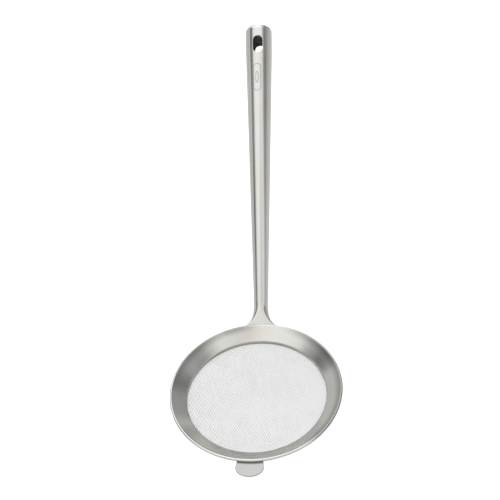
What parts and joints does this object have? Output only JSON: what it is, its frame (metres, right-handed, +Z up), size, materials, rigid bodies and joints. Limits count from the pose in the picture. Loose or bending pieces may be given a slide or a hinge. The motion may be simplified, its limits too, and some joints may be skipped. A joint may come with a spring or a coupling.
{
  "type": "long-handled fine-mesh strainer",
  "caption": "Long-handled strainer: shallow pressed steel rim with a rolled edge, fine woven wire cloth, tapered hollow round handle with a hanging slot, and a front rest lug.",
  "frame": {"origin": "centre of the underside of the clamp ring, on the bowl's axis, on the plane the bowl rests on", "axes": "+Z up out of the bowl along its axis, +Y from the bowl towards the handle, X to the side"},
  "size_m": [0.12, 0.3263, 0.1589],
  "materials": {
    "rim_steel": "satin stainless steel, circular brushing",
    "wire_cloth": "bright drawn stainless wire",
    "clamp_steel": "satin stainless steel",
    "handle_steel": "satin stainless steel, brushed along its length",
    "cap_steel": "satin stainless steel",
    "lug_steel": "satin stainless steel"
  },
  "bodies": {
    "root": {"rim_frame": "rim_steel", "mesh_cloth": "wire_cloth", "mesh_clamp_ring": "clamp_steel", "handle_tube": "handle_steel", "handle_end_cap": "cap_steel", "front_rest_lug": "lug_steel"}
  },
  "joints": []
}
